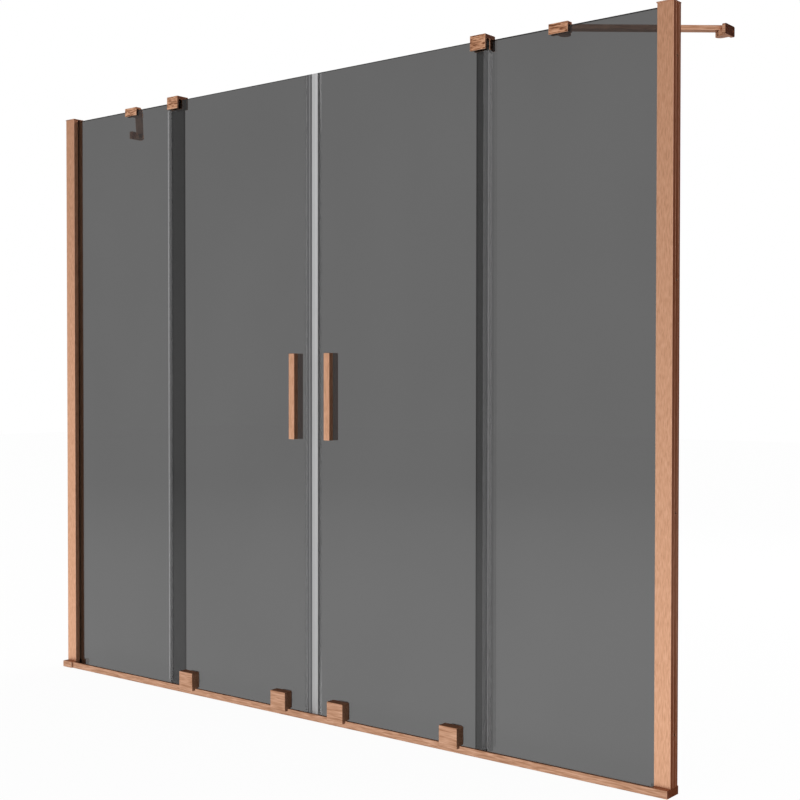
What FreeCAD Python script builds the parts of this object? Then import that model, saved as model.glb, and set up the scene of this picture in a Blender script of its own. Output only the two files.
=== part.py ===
import FreeCAD, Part
import os
import re
import Sketcher

# A sliding bath screen that stands on a bath rim between two walls. Two outer panes are fixed.
# Two doors roll along the rail in front of them and meet in the middle.
# Frame: X along the screen, +Y into the bath, +Z up. The origin lies on the rail's underside, midway
# between the walls and midway between the planes of the panes.
# Places along X are distances from the middle, and each side of the screen mirrors the other.

SIZES = {
    # the whole screen
    "overall_width": 1800,
    "overall_height": 1500,
    # the four panes
    "glass_thickness": 6,
    "pane_gap": 8,
    "fixed_width": 435.5,
    "door_overlap": 36,
    "door_top_drop": 7,
    "door_floor_gap": 5,
    "fixed_top_drop": 6,
    # bottom rail
    "rail_height": 16,
    "rail_floor": 3,
    "rail_front_lip": 7,
    "rail_kerb": 4,
    "rail_kerb_rise": 2,
    "rail_rib": 2.5,
    "rail_rib_rise": 4,
    "rail_rubber": 2.5,
    "door_room": 6.5,
    "rail_cap_length": 35,
    "rail_cap_margin": 3.5,
    "rail_cap_proud": 3.5,
    "rail_end_plate": 3,
    "stop_length": 6,
    "stop_height": 9,
    "stop_inset": 10.5,
    # wall profiles
    "profile_width": 34,
    "profile_front_chamber": 11,
    "profile_rear_chamber": 7,
    "profile_skin": 1.6,
    "profile_web": 2,
    "profile_cap": 2,
    "cap_overhang": 1.5,
    "glass_pocket": 17,
    "gasket_side": 3,
    "gasket_base": 1,
    "mouth_lip": 3,
    "mouth_gap": 1,
    "channel_wall": 1.6,
    "channel_play": 0.2,
    "channel_gap": 1,
    "wall_hole_radius": 2.5,
    "wall_hole_inset": 100,
    "wall_hole_step": 440,
    "lock_screw_radius": 1.6,
    "lock_head_radius": 3.5,
    "lock_head": 2,
    "lock_screw_reach": 2,
    "lock_screw_inset": 160,
    "screw_play": 0.1,
    # top guides
    "guide_width": 38.5,
    "guide_height": 31,
    "guide_proud": 4,
    "guide_plate": 5,
    "guide_bridge": 8,
    "guide_pad": 3,
    "tongue_pad": 1.6,
    "guide_run": 0.4,
    "pad_inset": 2,
    # stabilisers
    "clamp_inset": 237,
    "clamp_width": 44.5,
    "clamp_height": 21,
    "clamp_proud": 2,
    "clamp_plate": 2.7,
    "clamp_bridge": 5,
    "clamp_rear": 6,
    "clamp_pad": 0.8,
    "knuckle_radius": 11.5,
    "knuckle_gap": 0.4,
    "bar_width": 20,
    "bar_height": 10,
    "bar_end": 9.5,
    "bar_corner": 6,
    "pin_radius": 3,
    "pin_play": 0.05,
    "flange_place": 239,
    "flange_length": 44,
    "flange_thickness": 7,
    "flange_corner": 3,
    "flange_hole_radius": 2.25,
    "flange_hole_step": 32,
    "grub_radius": 2.5,
    "grub_spacing": 20,
    # door seals
    "magnet_seal": 14.85,
    "magnet_meet": 0.3,
    "magnet_width": 5,
    "magnet_depth": 5,
    "magnet_wall": 1,
    "seal_leg": 8,
    "seal_skin": 1,
    "edge_seal": 6,
    "edge_fin": 1.5,
    "edge_fin_gap": 0.5,
    "edge_seal_lift": 2,
    # handles
    "handle_inset": 39,
    "handle_width": 17,
    "handle_depth": 13,
    "handle_length": 200,
    "handle_middle": 750,
    "handle_corner": 1,
    "handle_screw_step": 140,
    "handle_screw_radius": 2.5,
    "handle_head_radius": 4.5,
    "handle_head": 3,
    "handle_bite": 8,
    "glass_hole_play": 1.5,
    # roller blocks
    "block_inner_inset": 73,
    "block_outer_inset": 80,
    "block_width": 46.5,
    "block_rise": 40,
    "block_corner": 1.5,
    "block_pad": 1,
    "skirt_thickness": 11,
    "skirt_gap": 0.5,
    "skirt_drop": 5,
    "block_clear": 0.6,
    "plate_pad": 0.8,
    "plate_width": 25,
    "plate_height": 9,
    "plate_thickness": 4,
    "plate_drop": 2,
    "block_screw_radius": 2,
    "block_head_radius": 3.6,
    "block_head": 1.6,
    "block_screw_bite": 8,
    "block_screw_spacing": 16,
    # rollers
    "wheel_radius": 14,
    "wheel_lift": 0.3,
    "wheel_play": 0.5,
    "flange_rise": 2.2,
    "flange_width": 1.7,
    "flange_play": 0.4,
    "tread_inset": 0.4,
    "axle_radius": 3,
    "axle_play": 0.05,
    "axle_seat": 4,
    "bearing_radius": 9.5,
    "bearing_width": 6,
    "bearing_sleeve": 1.5,
    "bearing_groove": 0.5,
    "press_play": 0.02,
}

PLACES = {
    "half_width": "overall_width / 2",
    # planes of the panes
    "door_front": "-pane_gap / 2 - glass_thickness",
    "door_rear": "-pane_gap / 2",
    "fixed_front": "pane_gap / 2",
    "fixed_rear": "pane_gap / 2 + glass_thickness",
    "door_inner": "magnet_seal + magnet_meet / 2",
    "door_outer": "fixed_inner + door_overlap",
    "door_bottom": "rail_floor + door_floor_gap",
    "door_top": "overall_height - door_top_drop",
    "fixed_inner": "fixed_outer - fixed_width",
    "fixed_outer": "profile_mouth + glass_pocket - gasket_base",
    "fixed_bottom": "rail_floor + rail_rubber",
    "fixed_top": "overall_height - fixed_top_drop",
    # bottom rail
    "lip_inner": "door_front - door_room",
    "rail_front": "lip_inner - rail_front_lip",
    "rail_slot_rear": "fixed_rear + rail_rubber",
    "rail_rear": "rail_slot_rear + rail_kerb",
    "rail_slot_front": "fixed_front - rail_rubber",
    "rib_front": "rail_slot_front - rail_rib",
    "rib_top": "rail_floor + rail_rib_rise",
    "kerb_top": "rail_floor + rail_kerb_rise",
    "cap_joint": "half_width - rail_cap_length",
    "end_plate": "half_width - rail_end_plate",
    "rail_cap_rear": "profile_rear + rail_cap_margin",
    "stop_end": "cap_joint - stop_inset",
    # wall profiles
    "profile_mouth": "half_width - profile_width",
    "pocket_front": "fixed_front - gasket_side",
    "pocket_rear": "fixed_rear + gasket_side",
    "profile_front": "pocket_front - profile_front_chamber",
    "profile_rear": "pocket_rear + profile_rear_chamber",
    "profile_top": "overall_height - profile_cap",
    "mouth_end": "profile_mouth + mouth_lip",
    "mouth_front": "fixed_front - mouth_gap",
    "mouth_rear": "fixed_rear + mouth_gap",
    "web_inner": "profile_mouth + glass_pocket",
    "web_outer": "web_inner + profile_web",
    "channel_inner": "web_outer + channel_gap",
    "channel_front": "pocket_front + channel_play",
    "channel_rear": "pocket_rear - channel_play",
    "lock_line": "(channel_inner + half_width) / 2",
    "profile_middle": "(rail_height + profile_top) / 2",
    # top guides
    "guide_centre": "(fixed_inner + door_outer) / 2",
    "guide_inner": "guide_centre - guide_width / 2",
    "guide_outer": "guide_centre + guide_width / 2",
    "guide_top": "overall_height + guide_proud",
    "guide_bottom": "guide_top - guide_height",
    "guide_front": "door_front - guide_run - guide_pad - guide_plate",
    "guide_rear": "fixed_rear + guide_pad + guide_plate",
    "guide_roof": "guide_top - guide_bridge",
    "tongue_front": "door_rear + guide_run + tongue_pad",
    "tongue_rear": "fixed_front - clamp_pad",
    "grub_line": "guide_bottom + (fixed_top - guide_bottom) / 2",
    # stabilisers
    "clamp_place": "fixed_outer - clamp_inset",
    "clamp_inner": "clamp_place - clamp_width / 2",
    "clamp_outer": "clamp_place + clamp_width / 2",
    "clamp_top": "overall_height + clamp_proud",
    "clamp_bottom": "clamp_top - clamp_height",
    "clamp_roof": "clamp_top - clamp_bridge",
    "clamp_front": "fixed_front - clamp_pad - clamp_plate",
    "clamp_rear_face": "fixed_rear + clamp_pad",
    "clamp_back": "clamp_rear_face + clamp_rear",
    "clamp_grub_line": "clamp_bottom + (fixed_top - clamp_bottom) / 2",
    "bar_top": "clamp_top",
    "bar_bottom": "bar_top - bar_height",
    "knuckle_top": "bar_bottom - knuckle_gap",
    "corner_along": "bar_end - bar_corner",
    "corner_across": "bar_width / 2 - bar_corner",
    "bar_swing": "bar_corner + sqrt(corner_along * corner_along + corner_across * corner_across)",
    "clamp_pivot": "clamp_back + bar_swing + knuckle_gap",
    "flange_face": "half_width - flange_thickness",
    "wall_pivot": "flange_face - bar_swing - knuckle_gap",
    "bar_run": "wall_pivot - clamp_place",
    "bar_rise": "flange_place - clamp_pivot",
    "bar_span": "sqrt(bar_run * bar_run + bar_rise * bar_rise)",
    "flange_middle": "(clamp_top + clamp_bottom) / 2",
    # door seals
    "seal_front": "door_front - seal_skin",
    "seal_rear": "door_rear + seal_skin",
    "seal_face": "magnet_meet / 2",
    "seal_leg_end": "door_inner + seal_leg",
    "magnet_inner": "seal_face + magnet_wall",
    "magnet_outer": "magnet_inner + magnet_width",
    "door_middle": "(door_front + door_rear) / 2",
    "edge_leg_end": "door_outer - seal_leg",
    "edge_end": "door_outer + edge_seal",
    "edge_bottom": "rail_height + edge_seal_lift",
    "edge_top": "guide_bottom - edge_seal_lift",
    "fin_inner": "door_outer + edge_seal / 2",
    "fin_tip": "fixed_front - edge_fin_gap",
    # handles
    "handle_place": "door_inner + handle_inset",
    "handle_inner_side": "handle_place - handle_width / 2",
    "handle_outer_side": "handle_place + handle_width / 2",
    "handle_front": "door_front - handle_depth",
    "handle_rear": "door_rear + handle_depth",
    "handle_low": "handle_middle - handle_length / 2",
    # roller blocks and rollers
    "block_inner_place": "door_inner + block_inner_inset",
    "block_outer_place": "door_outer - block_outer_inset",
    "block_front": "rail_front - skirt_gap - skirt_thickness",
    "block_rear": "door_front - block_pad",
    "skirt_rear": "rail_front - skirt_gap",
    "skirt_bottom": "rail_height - skirt_drop",
    "block_floor": "rail_height + block_clear",
    "block_top": "rail_height + block_rise",
    "plate_front": "door_rear + plate_pad",
    "plate_rear": "plate_front + plate_thickness",
    "plate_high": "block_top - plate_drop",
    "plate_low": "plate_high - plate_height",
    "axle_height": "rail_height + wheel_lift + wheel_radius",
    "rim_radius": "wheel_radius + flange_rise",
    "rim_front": "lip_inner + flange_play",
    "rim_rear": "rim_front + flange_width",
    "tread_front": "rail_front + tread_inset",
    "well_front": "tread_front - wheel_play",
    "well_rear": "rim_rear + wheel_play",
    "well_half": "rim_radius + wheel_play",
    "block_screw_height": "(plate_low + plate_high) / 2",
    "bearing_middle": "(tread_front + rim_rear) / 2",
    "sleeve_radius": "axle_radius + axle_play + bearing_sleeve",
}

FUNCTIONS = ("sqrt", "atan2")
SIDES = (("left", -1), ("right", 1))
TURN_TO_X = FreeCAD.Rotation(FreeCAD.Vector(0, 1, 0), 90)
TURN_TO_Y = FreeCAD.Rotation(FreeCAD.Vector(1, 0, 0), -90)
# two places, or a slope and none, that differ by less than this are the same
SAME = 0.01

doc = FreeCAD.newDocument("sliding_bath_screen")
sheet = doc.addObject("Spreadsheet::Sheet", "sizes")
for row, (size_name, size_value) in enumerate(SIZES.items(), start=1):
    sheet.set(f"A{row}", size_name)
    sheet.set(f"B{row}", str(size_value))
    sheet.setAlias(f"B{row}", size_name)
doc.recompute()
nodes = []


def formula(text):
    """Spell out a size formula, with each place in full and each size by its sheet cell."""
    def spell(match):
        word = match.group(0)
        if word in FUNCTIONS:
            return word
        if word in PLACES:
            return "(" + formula(PLACES[word]) + ")"
        return "sizes." + word
    return re.sub(r"[a-z][a-z0-9_]+", spell, text)


def value(text):
    return float(sheet.evalExpression(formula(text)))


def bind(thing, prop, text):
    thing.setExpression(prop, formula(text))


def span_along_x(low, high, side):
    """The lower end of a stretch of X, which is turned round on the left side."""
    return low if side > 0 else f"-({high})"


def box(name, x, y, z, side=1):
    solid = doc.addObject("Part::Box", name)
    bind(solid, "Length", f"({x[1]}) - ({x[0]})")
    bind(solid, "Width", f"({y[1]}) - ({y[0]})")
    bind(solid, "Height", f"({z[1]}) - ({z[0]})")
    bind(solid, "Placement.Base.x", span_along_x(x[0], x[1], side))
    bind(solid, "Placement.Base.y", y[0])
    bind(solid, "Placement.Base.z", z[0])
    return solid


def rod(name, radius, x, y, z, side=1):
    """A round rod: two of its places are single values, and the pair is the stretch it runs along."""
    solid = doc.addObject("Part::Cylinder", name)
    bind(solid, "Radius", radius)
    ends = next(place for place in (x, y, z) if isinstance(place, tuple))
    bind(solid, "Height", f"({ends[1]}) - ({ends[0]})")
    if x is ends:
        solid.Placement.Rotation = TURN_TO_X
        bind(solid, "Placement.Base.x", span_along_x(x[0], x[1], side))
    else:
        bind(solid, "Placement.Base.x", f"{side} * ({x})")
    if y is ends:
        solid.Placement.Rotation = TURN_TO_Y
    bind(solid, "Placement.Base.y", y[0] if y is ends else y)
    bind(solid, "Placement.Base.z", z[0] if z is ends else z)
    return solid


def fuse(name, solids):
    result = doc.addObject("Part::MultiFuse", name)
    result.Shapes = solids
    result.Refine = True
    return result


def cut(name, base, tools):
    result = doc.addObject("Part::Cut", name)
    result.Base = base
    result.Tool = tools[0] if len(tools) == 1 else fuse(name + "_tools", tools)
    return result


def group(name, solids):
    result = doc.addObject("Part::Compound", name)
    result.Links = solids
    return result


def node(thing, label):
    """Hand the finished piece its own name."""
    thing.Label = label
    nodes.append(thing)
    return thing


def draw_outline(sketch, points, first):
    """Draw a closed outline of straight lines, each corner held at its two places."""
    corners = [FreeCAD.Vector(value(u), value(v), 0) for u, v in points]
    last = len(corners) - 1
    for index, corner in enumerate(corners):
        following = corners[0 if index == last else index + 1]
        sketch.addGeometry(Part.LineSegment(corner, following), False)
    for index, (u, v) in enumerate(points):
        line = first + index
        next_line = first if index == last else line + 1
        sketch.addConstraint(Sketcher.Constraint("Coincident", line, 2, next_line, 1))
        for way, place, key in (("DistanceX", u, "across"), ("DistanceY", v, "up")):
            held = sketch.addConstraint(Sketcher.Constraint(way, -1, 1, line, 1, value(place)))
            sketch.renameConstraint(held, f"{key}_{line}")
            sketch.setExpression(f"Constraints.{key}_{line}", formula(place))
    return first + len(points)


def extrusion(name, plane, outlines, start, length):
    """A body padded from closed outlines on one of its origin planes: XY up, YZ along X."""
    body = doc.addObject("PartDesign::Body", name)
    sketch = body.newObject("Sketcher::SketchObject", name + "_section")
    support = next(part for part in body.Origin.OriginFeatures if part.Role == plane)
    sketch.AttachmentSupport = [(support, "")]
    sketch.MapMode = "FlatFace"
    bind(sketch, "AttachmentOffset.Base.z", start)
    drawn = 0
    for points in outlines:
        drawn = draw_outline(sketch, points, drawn)
    pad = body.newObject("PartDesign::Pad", name + "_pad")
    pad.Profile = sketch
    bind(pad, "Length", length)
    return body


def round_edges(body, radius, wanted):
    """Round those edges of a body whose direction and middle the test wanted accepts."""
    doc.recompute()
    pad = body.Tip
    names = []
    for index, edge in enumerate(pad.Shape.Edges, start=1):
        if wanted(edge.tangentAt(edge.FirstParameter), edge.CenterOfMass):
            names.append(f"Edge{index}")
    fillet = body.newObject("PartDesign::Fillet", body.Name + "_round")
    fillet.Base = (pad, names)
    bind(fillet, "Radius", radius)
    body.Tip = fillet
    return body


def rectangle(u, v):
    return [(u[0], v[0]), (u[1], v[0]), (u[1], v[1]), (u[0], v[1])]


def mirrored(points, side):
    return [(f"{side} * ({u})", v) for u, v in points]


# Bottom rail: a thick front lip that the rollers run on and that hides the rest, a trough behind
# it, and a slot between a rib and a low kerb for the fixed panes.
rail_section = [
    ("rail_front", "0"),
    ("rail_rear", "0"),
    ("rail_rear", "kerb_top"),
    ("rail_slot_rear", "kerb_top"),
    ("rail_slot_rear", "rail_floor"),
    ("rail_slot_front", "rail_floor"),
    ("rail_slot_front", "rib_top"),
    ("rib_front", "rib_top"),
    ("rib_front", "rail_floor"),
    ("lip_inner", "rail_floor"),
    ("lip_inner", "rail_height"),
    ("rail_front", "rail_height"),
]
rail = extrusion("rail", "YZ_Plane", [rail_section], "-(cap_joint)", "cap_joint + end_plate")
node(rail, "bottom_rail")

# End caps, which the wall profiles stand on: the left one is a block that stands a little proud of
# the rail, the right one a plate with a plug that fills the rail's end. Each is slotted for its pane.
cap_z = ("0", "rail_height")
slot_y = ("rail_slot_front", "rail_slot_rear")
pane_slot = ("cap_joint", "fixed_outer"), slot_y, ("rail_floor", "rail_height")
left_block = box("cap_left_block", ("cap_joint", "half_width"),
                 ("rail_front - rail_cap_proud", "rail_cap_rear"), cap_z, side=-1)
left_slot = box("cap_left_slot", *pane_slot, side=-1)
node(cut("cap_left", left_block, [left_slot]), "rail_end_cap_left")
plug_section = [
    ("lip_inner", "rail_floor"),
    ("rib_front", "rail_floor"),
    ("rib_front", "rib_top"),
    ("rail_slot_front", "rib_top"),
    ("rail_slot_front", "rail_floor"),
    ("rail_slot_rear", "rail_floor"),
    ("rail_slot_rear", "kerb_top"),
    ("rail_rear", "kerb_top"),
    ("rail_rear", "0"),
    ("rail_cap_rear", "0"),
    ("rail_cap_rear", "rail_height"),
    ("lip_inner", "rail_height"),
]
plug = extrusion("cap_right_plug", "YZ_Plane", [plug_section], "cap_joint", "end_plate - (cap_joint)")
right_plate = box("cap_right_plate", ("end_plate", "half_width"), ("rail_front", "rail_cap_rear"), cap_z)
right_slot = box("cap_right_slot", *pane_slot)
node(cut("cap_right", fuse("cap_right_blank", [plug, right_plate]), [right_slot]), "rail_end_cap_right")

# Rubber channels that seat the fixed panes in the rail's slot, and the buffers of the doors.
strips = []
stops = []
for side_name, side in SIDES:
    strip_section = [
        ("rail_slot_front", "rail_floor"),
        ("rail_slot_rear", "rail_floor"),
        ("rail_slot_rear", "kerb_top"),
        ("fixed_rear", "kerb_top"),
        ("fixed_rear", "fixed_bottom"),
        ("fixed_front", "fixed_bottom"),
        ("fixed_front", "rib_top"),
        ("rail_slot_front", "rib_top"),
    ]
    strip_start = span_along_x("fixed_inner", "fixed_outer", side)
    strips.append(extrusion(f"rail_strip_{side_name}", "YZ_Plane", [strip_section], strip_start,
                            "fixed_outer - (fixed_inner)"))
    stops.append(box(f"rail_stop_{side_name}", ("stop_end - stop_length", "stop_end"),
                     ("door_front", "door_rear"), ("rail_floor", "rail_floor + stop_height"), side))
node(group("rail_strips", strips), "rail_glazing_strips")
node(group("rail_stop_pair", stops), "rail_stops")

# Wall profiles: a narrow channel screwed to the wall, and a cover profile over it that takes
# the pane on its other side, in a gasket behind two lips. Locking screws come from the bath side.
caps = []
gaskets = []
lock_screws = []
hole_heights = []
for way in (-1, 1):
    hole_heights.append(f"profile_middle + ({way}) * (wall_hole_step / 2)")
    hole_heights.append(f"profile_middle + ({way}) * ((profile_top - rail_height) / 2 - wall_hole_inset)")
lock_heights = ["rail_height + lock_screw_inset", "profile_middle", "profile_top - lock_screw_inset"]
for side_name, side in SIDES:
    channel_section = [
        ("channel_inner", "channel_front"),
        ("half_width", "channel_front"),
        ("half_width", "channel_rear"),
        ("channel_inner", "channel_rear"),
        ("channel_inner", "channel_rear - channel_wall"),
        ("half_width - channel_wall", "channel_rear - channel_wall"),
        ("half_width - channel_wall", "channel_front + channel_wall"),
        ("channel_inner", "channel_front + channel_wall"),
    ]
    channel_bar = extrusion(f"channel_bar_{side_name}", "XY_Plane", [mirrored(channel_section, side)],
                            "rail_height", "profile_top - rail_height")
    cover_section = [
        ("profile_mouth", "profile_front"),
        ("half_width", "profile_front"),
        ("half_width", "pocket_front"),
        ("web_outer", "pocket_front"),
        ("web_outer", "pocket_rear"),
        ("half_width", "pocket_rear"),
        ("half_width", "profile_rear"),
        ("profile_mouth", "profile_rear"),
        ("profile_mouth", "mouth_rear"),
        ("mouth_end", "mouth_rear"),
        ("mouth_end", "pocket_rear"),
        ("web_inner", "pocket_rear"),
        ("web_inner", "pocket_front"),
        ("mouth_end", "pocket_front"),
        ("mouth_end", "mouth_front"),
        ("profile_mouth", "mouth_front"),
    ]
    chamber_x = ("profile_mouth + profile_skin", "half_width - profile_skin")
    front_chamber = rectangle(chamber_x, ("profile_front + profile_skin", "pocket_front - profile_skin"))
    rear_chamber = rectangle(chamber_x, ("pocket_rear + profile_skin", "profile_rear - profile_skin"))
    cover_outlines = [mirrored(points, side) for points in (cover_section, front_chamber, rear_chamber)]
    cover_bar = extrusion(f"cover_bar_{side_name}", "XY_Plane", cover_outlines, "rail_height",
                          "profile_top - rail_height")
    gasket_section = [
        ("mouth_end", "pocket_front"),
        ("web_inner", "pocket_front"),
        ("web_inner", "pocket_rear"),
        ("mouth_end", "pocket_rear"),
        ("mouth_end", "fixed_rear"),
        ("fixed_outer", "fixed_rear"),
        ("fixed_outer", "fixed_front"),
        ("mouth_end", "fixed_front"),
    ]
    gaskets.append(extrusion(f"gasket_{side_name}", "XY_Plane", [mirrored(gasket_section, side)],
                             "rail_height", "fixed_top - rail_height"))
    caps.append(box(f"profile_cap_{side_name}", ("profile_mouth - cap_overhang", "half_width"),
                    ("profile_front - cap_overhang", "profile_rear + cap_overhang"),
                    ("profile_top", "overall_height"), side))
    wall_holes = []
    for index, height in enumerate(hole_heights):
        wall_holes.append(rod(f"wall_hole_{side_name}_{index}", "wall_hole_radius",
                              ("half_width - channel_wall", "half_width"),
                              "(pocket_front + pocket_rear) / 2", height, side))
    lock_holes = []
    for index, height in enumerate(lock_heights):
        reach = ("channel_rear - channel_wall - lock_screw_reach", "profile_rear")
        lock_holes.append(rod(f"lock_hole_{side_name}_{index}", "lock_screw_radius + screw_play",
                              "lock_line", reach, height, side))
        shank = rod(f"lock_shank_{side_name}_{index}", "lock_screw_radius", "lock_line", reach, height, side)
        head = rod(f"lock_head_{side_name}_{index}", "lock_head_radius", "lock_line",
                   ("profile_rear", "profile_rear + lock_head"), height, side)
        lock_screws.append(fuse(f"lock_screw_{side_name}_{index}", [shank, head]))
    node(cut(f"channel_{side_name}", channel_bar, wall_holes + lock_holes), f"wall_channel_{side_name}")
    node(cut(f"cover_{side_name}", cover_bar, lock_holes), f"cover_profile_{side_name}")
node(group("profile_cap_pair", caps), "profile_caps")
node(group("gasket_pair", gaskets), "glazing_gaskets")
node(group("lock_screw_set", lock_screws), "profile_screws")

# Fixed panes: each stands in the rail's rubber and in the wall profile's gasket.
for side_name, side in SIDES:
    pane = box(f"fixed_pane_{side_name}", ("fixed_inner", "fixed_outer"), ("fixed_front", "fixed_rear"),
               ("fixed_bottom", "fixed_top"), side)
    node(pane, f"fixed_glass_{side_name}")

# Top guides: an inverted E over both panes. Set screws press its rear pad on the fixed pane,
# and the door runs between two glide pads.
pads = []
grubs = []
for side_name, side in SIDES:
    guide_section = [
        ("guide_front", "guide_bottom"),
        ("guide_front + guide_plate", "guide_bottom"),
        ("guide_front + guide_plate", "guide_roof"),
        ("tongue_front", "guide_roof"),
        ("tongue_front", "guide_bottom"),
        ("tongue_rear", "guide_bottom"),
        ("tongue_rear", "guide_roof"),
        ("guide_rear - guide_plate", "guide_roof"),
        ("guide_rear - guide_plate", "guide_bottom"),
        ("guide_rear", "guide_bottom"),
        ("guide_rear", "guide_top"),
        ("guide_front", "guide_top"),
    ]
    guide_start = span_along_x("guide_inner", "guide_outer", side)
    guide_bar = extrusion(f"guide_bar_{side_name}", "YZ_Plane", [guide_section], guide_start, "guide_width")
    pad_x = ("guide_inner + pad_inset", "guide_outer - pad_inset")
    pad_z = ("guide_bottom + pad_inset", "door_top - pad_inset")
    pad_layers = (
        ("guide_front + guide_plate", "door_front - guide_run"),
        ("door_rear + guide_run", "tongue_front"),
        ("tongue_rear", "fixed_front"),
        ("fixed_rear", "guide_rear - guide_plate"),
    )
    for index, layer in enumerate(pad_layers):
        pads.append(box(f"guide_pad_{side_name}_{index}", pad_x, layer, pad_z, side))
    grub_holes = []
    for index, way in enumerate((-1, 1)):
        place = f"guide_centre + ({way}) * grub_spacing / 2"
        reach = ("guide_rear - guide_plate", "guide_rear")
        grub_holes.append(rod(f"guide_grub_hole_{side_name}_{index}", "grub_radius + screw_play", place,
                              reach, "grub_line", side))
        grubs.append(rod(f"guide_grub_{side_name}_{index}", "grub_radius", place, reach, "grub_line", side))
    node(cut(f"guide_{side_name}", guide_bar, grub_holes), f"top_guide_{side_name}")

# Stabilisers: a saddle clamp on the fixed pane's top edge and a flange on the wall, each with a
# round knuckle under the flat bar that joins them on two pins.
pins = []
for side_name, side in SIDES:
    clamp_section = [
        ("clamp_front", "clamp_bottom"),
        ("fixed_front - clamp_pad", "clamp_bottom"),
        ("fixed_front - clamp_pad", "clamp_roof"),
        ("clamp_rear_face", "clamp_roof"),
        ("clamp_rear_face", "clamp_bottom"),
        ("clamp_back", "clamp_bottom"),
        ("clamp_back", "clamp_top"),
        ("clamp_front", "clamp_top"),
    ]
    clamp_start = span_along_x("clamp_inner", "clamp_outer", side)
    saddle = extrusion(f"saddle_{side_name}", "YZ_Plane", [clamp_section], clamp_start, "clamp_width")
    knuckle_z = ("clamp_bottom", "knuckle_top")
    knuckle = rod(f"knuckle_{side_name}", "knuckle_radius", "clamp_place", "clamp_pivot", knuckle_z, side)
    neck_half = "knuckle_radius - knuckle_gap"
    neck = box(f"neck_{side_name}", (f"clamp_place - ({neck_half})", f"clamp_place + ({neck_half})"),
               ("clamp_rear_face", "clamp_pivot"), knuckle_z, side)
    clamp_solid = fuse(f"clamp_solid_{side_name}", [saddle, neck, knuckle])
    pin_hole = rod(f"clamp_pin_hole_{side_name}", "pin_radius + pin_play", "clamp_place", "clamp_pivot",
                   knuckle_z, side)
    clamp_holes = []
    for index, way in enumerate((-1, 1)):
        place = f"clamp_place + ({way}) * (clamp_width / 2 + knuckle_radius) / 2"
        reach = ("clamp_rear_face", "clamp_back")
        clamp_holes.append(rod(f"clamp_grub_hole_{side_name}_{index}", "grub_radius + screw_play", place,
                               reach, "clamp_grub_line", side))
        grubs.append(rod(f"clamp_grub_{side_name}_{index}", "grub_radius", place, reach,
                         "clamp_grub_line", side))
    node(cut(f"clamp_{side_name}", clamp_solid, [pin_hole] + clamp_holes),
         f"stabiliser_clamp_{side_name}")
    pad_x = ("clamp_inner", "clamp_outer")
    pad_z = ("clamp_bottom", "fixed_top")
    pads.append(box(f"clamp_pad_front_{side_name}", pad_x, ("fixed_front - clamp_pad", "fixed_front"),
                    pad_z, side))
    pads.append(box(f"clamp_pad_rear_{side_name}", pad_x, ("fixed_rear", "clamp_rear_face"), pad_z, side))

    flange_y = ("flange_place - flange_length / 2", "flange_place + flange_length / 2")
    flange_z = ("clamp_bottom", "clamp_top")
    flange_start = span_along_x("flange_face", "half_width", side)
    plate = extrusion(f"flange_plate_{side_name}", "YZ_Plane", [rectangle(flange_y, flange_z)], flange_start,
                      "flange_thickness")
    round_edges(plate, "flange_corner", lambda way, middle: abs(way.x) > SAME)
    wall_knuckle = rod(f"wall_knuckle_{side_name}", "knuckle_radius", "wall_pivot", "flange_place",
                       knuckle_z, side)
    wall_neck = box(f"wall_neck_{side_name}", ("wall_pivot", "flange_face"),
                    (f"flange_place - ({neck_half})", f"flange_place + ({neck_half})"), knuckle_z, side)
    flange_solid = fuse(f"flange_solid_{side_name}", [plate, wall_neck, wall_knuckle])
    wall_pin_hole = rod(f"wall_pin_hole_{side_name}", "pin_radius + pin_play", "wall_pivot", "flange_place",
                        knuckle_z, side)
    flange_holes = []
    for index, way in enumerate((-1, 1)):
        flange_holes.append(rod(f"flange_hole_{side_name}_{index}", "flange_hole_radius",
                                ("flange_face", "half_width"),
                                f"flange_place + ({way}) * flange_hole_step / 2", "flange_middle", side))
    node(cut(f"flange_{side_name}", flange_solid, [wall_pin_hole] + flange_holes), f"wall_flange_{side_name}")

    bar_outline = rectangle(("-bar_end", "bar_span + bar_end"), ("-bar_width / 2", "bar_width / 2"))
    bar = extrusion(f"bar_{side_name}", "XY_Plane", [bar_outline], "bar_bottom", "bar_height")
    round_edges(bar, "bar_corner", lambda way, middle: abs(way.z) > SAME)
    bar_holes = []
    for index, place in enumerate(("0", "bar_span")):
        bar_holes.append(rod(f"bar_hole_{side_name}_{index}", "pin_radius + pin_play", place, "0",
                             ("bar_bottom", "bar_top")))
    drilled_bar = cut(f"drilled_bar_{side_name}", bar, bar_holes)
    bind(drilled_bar, "Placement.Base.x", f"{side} * clamp_place")
    bind(drilled_bar, "Placement.Base.y", "clamp_pivot")
    drilled_bar.Placement.Rotation = FreeCAD.Rotation(FreeCAD.Vector(0, 0, 1), 1)
    bind(drilled_bar, "Placement.Rotation.Angle", f"atan2(bar_rise; {side} * (bar_run))")
    node(drilled_bar, f"stabiliser_bar_{side_name}")
    pin_z = ("clamp_bottom", "bar_top")
    pins.append(rod(f"clamp_pin_{side_name}", "pin_radius", "clamp_place", "clamp_pivot", pin_z, side))
    pins.append(rod(f"wall_pin_{side_name}", "pin_radius", "wall_pivot", "flange_place", pin_z, side))
node(group("pin_set", pins), "stabiliser_pins")
node(group("pad_set", pads), "glass_pads")
node(group("grub_set", grubs), "grub_screws")

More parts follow.
